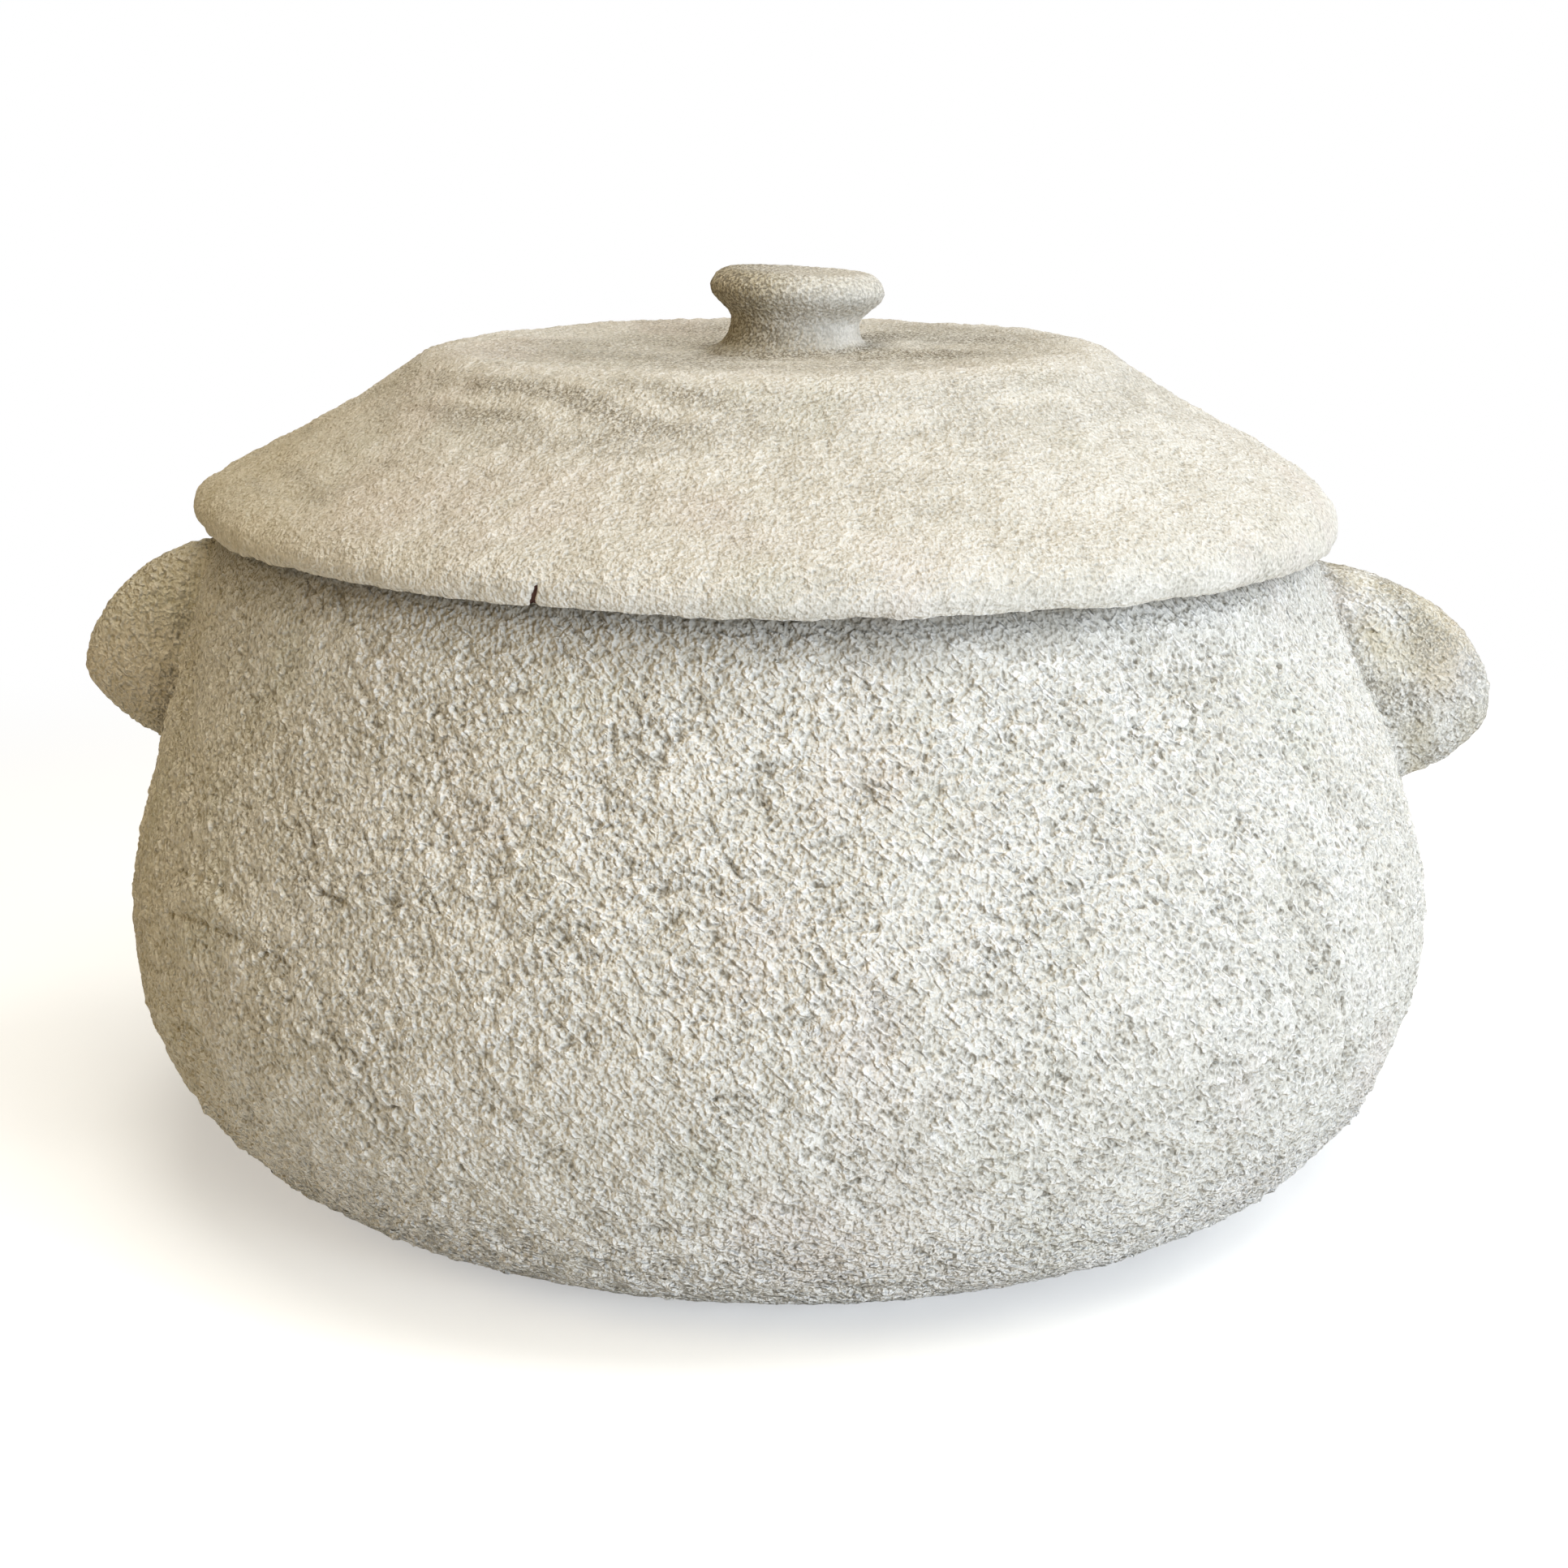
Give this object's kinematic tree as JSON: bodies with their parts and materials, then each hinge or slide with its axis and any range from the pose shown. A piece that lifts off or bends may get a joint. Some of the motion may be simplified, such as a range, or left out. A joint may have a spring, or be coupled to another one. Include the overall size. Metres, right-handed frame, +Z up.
{
  "type": "lidded pot",
  "caption": "Round-bellied clay pot with a loose knobbed lid and solid lug handles, under a pale gritty plaster coat; stores or displays things on a shelf or table.",
  "frame": {"origin": "centre of the bowl's flat foot, on the surface it stands on", "axes": "+Z up along the pot's axis, +X through the right lug handle, -Y towards the front"},
  "size_m": [0.409, 0.3748, 0.2526],
  "materials": {
    "clay": "matte",
    "plaster": "matte"
  },
  "bodies": {
    "bowl": {"bowl_body": "clay", "left_lug_handle": "clay", "right_lug_handle": "clay", "bowl_plaster_coat": "plaster"},
    "lid": {"lid_shell": "clay", "lid_locating_ring": "clay", "lid_knob": "clay", "lid_plaster_coat": "plaster"}
  },
  "joints": [
    {"name": "lid_lift", "type": "slide", "parent": "bowl", "child": "lid", "axis": [0, 0, 1], "range_m": [0, 0.25]}
  ]
}
